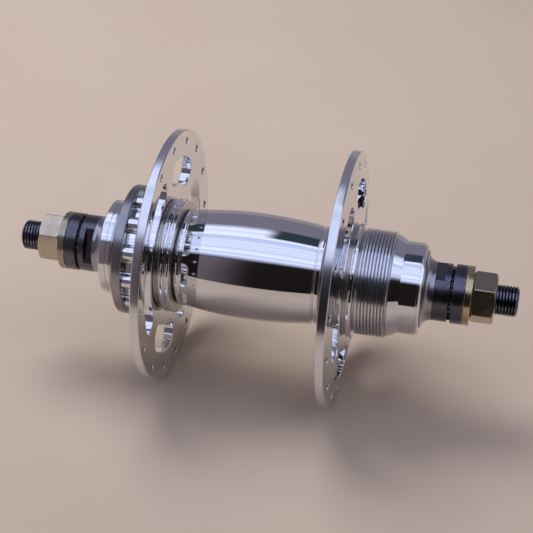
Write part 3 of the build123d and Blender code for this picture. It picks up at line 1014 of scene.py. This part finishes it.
def lobe_outline():
    """One lobe as (angle, radius) pairs, from the middle of one hollow to the middle of the next."""
    centre = lobe_tip - lobe_radius
    hollow = lobe_root + lobe_fillet
    reach = lobe_radius + lobe_fillet
    hollow_angle = math.acos((centre ** 2 + hollow ** 2 - reach ** 2) / (2 * centre * hollow))
    hollow_at = (hollow * math.cos(hollow_angle), hollow * math.sin(hollow_angle))
    touch = math.atan2(hollow_at[1], hollow_at[0] - centre)
    back = math.atan2(-hollow_at[1], centre - hollow_at[0])
    half = arc_points((centre, 0), lobe_radius, np.linspace(0, touch, tip_points))
    fillet = np.linspace(back, hollow_angle - math.pi, fillet_points)
    half += arc_points(hollow_at, lobe_fillet, fillet[1:])
    root = np.linspace(hollow_angle, math.pi / lobe_count, root_points)
    half += arc_points((0, 0), lobe_root, root[1:])
    polar = [(math.atan2(z, y), math.hypot(y, z)) for y, z in half]
    return [(-turn, radius) for turn, radius in polar[:0:-1]] + polar[:-1]


lobe_points = lobe_outline()
seat_radii = {}
for lobe in range(lobe_count):
    for turn, radius in lobe_points:
        seat_radii[turn + math.radians(lobe_first_angle + lobe * 360 / lobe_count)] = radius


def seat_outline(angle):
    return rounded([
        (lock_thread_start, lobe_ring_radius, 0.1),
        (lock_thread_start, seat_radii[angle], 0.3),
        (flange_face_left + 0.5, seat_radii[angle], 0.05),
        (flange_face_left + 0.5, lobe_ring_radius, 0.1),
    ])


seat_mesh = turned(seat_outline, list(seat_radii))
piece("cog_seat_lobes", seat_mesh, "hub", "hub_shell", "polish")

# %% [markdown]
# The lockring screws on outside the sprocket and clamps it. It is satin grey with fine turning rings, and
# has four blind holes in its outer face for a pin wrench. Their cutter flares at the rim like that of the
# spoke holes, but ends inside the metal.

# %% Lockring
ring_low, ring_high = span("cog_lockring")
ring_bore = lock_thread_radius + 0.05
pin_hole_points = 40
ring_pins = {"pitch_radius": 19.1, "hole_radius": 1.5, "count": 4, "first": 45.0, "depth": 1.9}


def pin_holes(face, side, pitch_radius, hole_radius, count, first, depth):
    """Cutters for blind holes in a face that looks to the given side."""
    profile = [(-proud, 0.35), (0.0, 0.2), (0.06, 0.08), (0.2, 0.0), (depth - 0.1, 0.0), (depth, -0.1)]
    stacks = []
    for hole in range(count):
        centre = on_circle(pitch_radius, first + hole * 360 / count)
        flat, out = outward(arc_points(centre, hole_radius, even_angles(pin_hole_points)))
        stacks.append([np.column_stack([np.full(len(flat), face - side * down), flat + out * wider])
                       for down, wider in profile])
    return stacks


lockring_mesh = turned(rounded([
    (ring_low.x, ring_bore, 0.2),
    (ring_low.x, ring_high.z, 0.4),
    (ring_high.x, ring_high.z, 0.4),
    (ring_high.x, ring_bore, 0.2),
]))
lockring_mesh = cut_with(lockring_mesh, pin_holes(ring_low.x, -1, **ring_pins))
piece("lockring_turned", lockring_mesh, "hub", "cog_lockring", "lockring")

# %% [markdown]
# Each dust cap is a little trumpet on the axle: wide at the shell, where it keeps grit out of the
# bearing, and as narrow as the adjusting nut at its other end. Its curve is one arc that leaves the neck
# along the axle. The arc's radius follows from how far it travels and how much it rises.

# %% Dust caps
axle_bore = 5.0
cap_neck_radius = 9.55
cap_disc = 0.3
cap_lip = 1.3
cap_recess_radius = 7.1
cap_boss_radius = 6.8
cap_points = 26


def cap_outline(side, name):
    low, high = span(name + "_dust_cap")
    neck, inner = (high.x, low.x) if side > 0 else (-low.x, -high.x)
    flare = high.z
    disc = inner + cap_disc
    lip = inner + cap_lip
    travel, rise = neck - lip, flare - cap_neck_radius
    radius = (travel ** 2 + rise ** 2) / (2 * rise)
    arc = [(neck - radius * math.sin(turn), cap_neck_radius + radius * (1 - math.cos(turn)), 0.0)
           for turn in np.linspace(0, math.asin(travel / radius), cap_points)]
    ends = [(neck, cap_neck_radius, 0.0), (lip, flare, 0.0)]
    rest = [(disc, flare, 0.12), (disc, cap_recess_radius, 0.1), (inner, cap_boss_radius, 0.1),
            (inner, axle_bore, 0.1), (neck, axle_bore, 0.1)]
    rows = arc + rounded(ends + rest)[len(ends):]
    return [(side * x, r, edge) for x, r, edge in rows]


for name, side in sides:
    cap_mesh = turned(cap_outline(side, name))
    piece(name + "_dust_cap_turned", cap_mesh, "axle_group", name + "_dust_cap", "cap")

# %% [markdown]
# Outside each cap, an adjusting nut sets the play of the bearing. It is round with two wrench flats
# milled into the half next to the cap. Milling leaves a step at the end of each flat, which a boolean
# with a block on either side gives directly.

# %% Adjusting nuts
wrench_flats = 15.0
flat_length = 2.95
flat_angles = {"left": 158.3, "right": 90.0}
block_reach = 12.0
block_overhang = 1.0
nut_columns = 144
nut_crease = 30.0


def block(x_low, x_high, near, far, half_width, degrees):
    turn = math.radians(degrees)
    square = [(near, -half_width), (near, half_width), (far, half_width), (far, -half_width)]
    return [np.array([(x, out * math.cos(turn) - across * math.sin(turn),
                       out * math.sin(turn) + across * math.cos(turn)) for out, across in square])
            for x in (x_low, x_high)]


for name, side in sides:
    low, high = span(name + "_adjusting_nut")
    outline = rounded([
        (low.x, axle_bore, 0.2),
        (low.x, high.z, 0.3),
        (high.x, high.z, 0.3),
        (high.x, axle_bore, 0.2),
    ])
    nut_mesh = turned(outline, even_angles(nut_columns))
    near_cap = (low.x - block_overhang, low.x + flat_length)
    if side < 0:
        near_cap = (high.x - flat_length, high.x + block_overhang)
    blocks = [block(*near_cap, wrench_flats / 2, block_reach, block_reach, flat_angles[name] + turn)
              for turn in (0, 180)]
    nut_mesh = cut_with(nut_mesh, blocks)
    piece(name + "_adjusting_nut_black", nut_mesh, "axle_group", name + "_adjusting_nut",
          "black", nut_crease)

# %% [markdown]
# A thin toothed washer sits between the adjusting nut and the locknut and keeps one from turning the
# other. From the side it is a dark slit with a row of bright tooth tips. Its outline swings between a
# root and a tip radius, so it is turned with an outline that depends on the angle.

# %% Lock washers
washer_teeth = 24
washer_rounding = 0.1
tooth_depths = {"left": 0.3, "right": 0.75}
samples_per_tooth = 10


def tooth_radius(angle, tip, depth):
    wave = math.cos(angle * washer_teeth)
    return tip - depth * min(1.0, max(0.0, 1.1 - 2.0 * wave))


for name, side in sides:
    low, high = span(name + "_lock_washer")

    def washer_outline(angle):
        tip = tooth_radius(angle, high.z, tooth_depths[name])
        corners = [(low.x, axle_bore), (low.x, tip), (high.x, tip), (high.x, axle_bore)]
        return rounded([(x, radius, washer_rounding) for x, radius in corners], steps=2)

    washer_mesh = turned(washer_outline, even_angles(washer_teeth * samples_per_tooth))
    piece(name + "_lock_washer_toothed", washer_mesh, "axle_group", name + "_lock_washer",
          "lock_washer")

# %% [markdown]
# The locknuts clamp the bearings' setting and bear against the frame. They are plain black rings with two
# pin holes in the face that the washer covers. That face also carries fine radial teeth, which bite the
# frame and stop the wheel from slipping. They are cut into the face, so the nut stays as wide as it is.

# %% Locknuts
bite_count = 48
bite_depth = 0.22
samples_per_bite = 6
nut_pins = {"pitch_radius": 7.3, "hole_radius": 1.1, "count": 2, "first": 0.0, "depth": 1.8}

for name, side in sides:
    low, high = span(name + "_locknut")
    inner, face = (low.x, high.x) if side > 0 else (high.x, low.x)

    def locknut_outline(angle):
        radius = high.z
        cut_face = face - side * bite_depth * (0.5 - 0.5 * math.cos(angle * bite_count))
        return rounded([
            (inner, axle_bore, 0.2),
            (inner, radius, 0.35),
            (face, radius, 0.55),
            (face, radius - 0.9, 0.1),
            (cut_face, radius - 1.2, 0.05),
            (cut_face, axle_bore + 0.9, 0.05),
            (face, axle_bore + 0.6, 0.1),
            (face, axle_bore, 0.2),
        ], steps=3)

    nut_mesh = turned(locknut_outline, even_angles(bite_count * samples_per_bite))
    nut_mesh = cut_with(nut_mesh, pin_holes(face, side, **nut_pins))
    piece(name + "_locknut_black", nut_mesh, "axle_group", name + "_locknut", "black")

# %% [markdown]
# Each axle nut carries its own washer, which turns freely on a skirt behind the hexagon. The washer is a
# plain ring with a shallow recess for the skirt, plated gold. The left one is duller than the right.

# %% Nut washers
skirt_radius = 6.7
recess_radius = skirt_radius + 0.06
washer_floor = 0.7
washer_columns = 192
washer_finishes = {"left": "dull_washer", "right": "washer"}

for name, side in sides:
    low, high = span(name + "_nut_washer")
    inner, outer = (low.x, high.x) if side > 0 else (high.x, low.x)
    outline = rounded([
        (inner, axle_bore, 0.1),
        (inner, high.z, 0.4),
        (outer, high.z, 0.3),
        (outer, recess_radius, 0.1),
        (inner + side * washer_floor, recess_radius, 0.05),
        (inner + side * washer_floor, axle_bore, 0.1),
    ])
    washer_mesh = turned(outline, even_angles(washer_columns))
    piece(name + "_nut_washer_plated", washer_mesh, name + "_washer", name + "_nut_washer",
          washer_finishes[name])

# %% [markdown]
# A hexagon nut is turned first and gets its flats second, and the flats cut its chamfer in six curved
# scallops. The same thing falls out of the turning helper: each angle has its own distance to the flat,
# the chamfer cone starts at a fixed radius, and where the two meet the scallop appears by itself. The
# columns crowd at the six corners, which are slightly rounded.

# %% Axle nuts
across_flats = 15.0
chamfer_angle = math.radians(30.0)
chamfer_foot = across_flats / 2 - 0.15
countersink = 0.7
corner_angles = {"left": 27.4, "right": 15.8}
corner_sharpness = 80
corner_steps = (0.5, 1, 1.5, 2, 2.5, 3, 3.5, 4, 5, 7, 10, 14, 18, 22, 26)


def hexagon_radius(turn):
    """Distance from the axis to a hexagon with one corner at turn 0, its corners rounded."""
    folded = (turn + math.pi / 6) % (math.pi / 3) - math.pi / 6
    near = math.cos(math.pi / 6 - folded) ** corner_sharpness
    far = math.cos(math.pi / 6 + folded) ** corner_sharpness
    return across_flats / 2 / (near + far) ** (1 / corner_sharpness)


def nut_angles(first):
    around = [-step for step in reversed(corner_steps)] + [0, *corner_steps, 30]
    return [math.radians(first + corner * 60 + step) for corner in range(6) for step in around]


for name, side in sides:
    low, high = span(name + "_axle_nut")
    washer_low, washer_high = span(name + "_nut_washer")
    back, outer, inner = (low.x, high.x, washer_high.x) if side > 0 else (-high.x, -low.x, -washer_low.x)
    first = corner_angles[name]

    def nut_outline(angle):
        reach = hexagon_radius(angle - math.radians(first))
        drop = (reach - chamfer_foot) * math.tan(chamfer_angle)
        return [(side * x, r, edge) for x, r, edge in rounded([
            (back, axle_bore, 0.15),
            (back, skirt_radius, 0.1),
            (inner, skirt_radius, 0.05),
            (inner, chamfer_foot, 0.1),
            (inner + drop, reach, 0.16),
            (outer - drop, reach, 0.16),
            (outer, chamfer_foot, 0.3),
            (outer, axle_bore + countersink, 0.15),
            (outer - countersink, axle_bore, 0.1),
        ])]

    nut_mesh = turned(nut_outline, nut_angles(first))
    piece(name + "_axle_nut_plated", nut_mesh, name + "_nut", name + "_axle_nut", "nut",
          nut_crease)

# %% [markdown]
# The axle is a solid steel rod, threaded at both ends and blackened. Its ends have the small centre hole
# that the lathe held it by. The thread is the same winding V as on the shell, only finer. Rows run
# inwards from each tip, so the angle counts backwards at one end to keep both threads right-handed.

# %% Axle
axle_end = span("axle")[1]
axle_tip = axle_end.x
axle_radius = axle_end.z
axle_pitch = 1.0
axle_thread_depth = 0.45
axle_thread_length = 31.0
thread_foot = axle_radius - 0.9
centre_hole_radius = 1.6
centre_hole_depth = 1.3
axle_columns = 96


def axle_outline(angle):
    rows = []
    for side in (-1, 1):
        end = [
            (side * (axle_tip - centre_hole_depth), 0.0, 0.0),
            (side * (axle_tip - 0.15), centre_hole_radius, 0.3),
            (side * axle_tip, centre_hole_radius + 0.15, 0.2),
            (side * axle_tip, thread_foot - 0.2, 0.6),
        ]
        end += thread_rows(side * (axle_tip - 0.05), side * (axle_tip - axle_thread_length), axle_pitch,
                           axle_radius, axle_thread_depth, (thread_foot, thread_foot),
                           angle if side < 0 else 2 * math.pi - angle)
        rows += end if side < 0 else end[::-1]
    return rows


axle_mesh = turned(axle_outline, even_angles(axle_columns))
piece("axle_threaded", axle_mesh, "axle_group", "axle", "axle")

# %% [markdown]
# The pieces inside keep their CAD shape, because nobody sees them until the hub comes apart. They still
# get proper materials: ground steel for the races and balls, nylon for the cages, rubber for the seals
# and plain alloy for the sleeve.

# %% Inner pieces
inner_finishes = {
    "bearing_inner_race": "bearing",
    "bearing_outer_race": "bearing",
    "bearing_balls": "bearing",
    "bearing_cage": "nylon",
    "outboard_seal": "rubber",
    "inboard_seal": "rubber",
}


def soft_material(name, colour, second, roughness, scale):
    material, tree, shader = node_material(name)
    cloud = noise(tree, object_point(tree), scale)
    bump = add_node(tree, "Bump", Strength=0.25, Distance=0.00001, Height=cloud)
    fill(tree, shader, Metallic=0.0,
         Base_Color=mix_colour(tree, spread(tree, cloud, 0, 1), colour, second),
         Roughness=spread(tree, cloud, roughness * 0.85, roughness * 1.15),
         Normal=bump.outputs["Normal"])
    return material


def refinish(node, finish):
    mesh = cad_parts[node].data
    mesh.materials.clear()
    mesh.materials.append(finishes[finish])


finishes["nylon"] = soft_material("cage_nylon", (0.8, 0.77, 0.68), (0.72, 0.69, 0.6), 0.45, 500.0)
finishes["rubber"] = soft_material("seal_rubber", (0.03, 0.03, 0.032), (0.02, 0.02, 0.021), 0.6, 700.0)
refinish("axle_sleeve", "sleeve")
for name, side in sides:
    for node, finish in inner_finishes.items():
        refinish(name + "_" + node, finish)
print("carried over", 1 + 2 * len(inner_finishes), "CAD nodes")

# %% [markdown]
# Last, the size. The dressed hub must fill the same box as the CAD hub, so the CAD box is printed.

# %% Size
print("CAD box", [round(value / mm, 2) for value in (*cad_low, *cad_high)])
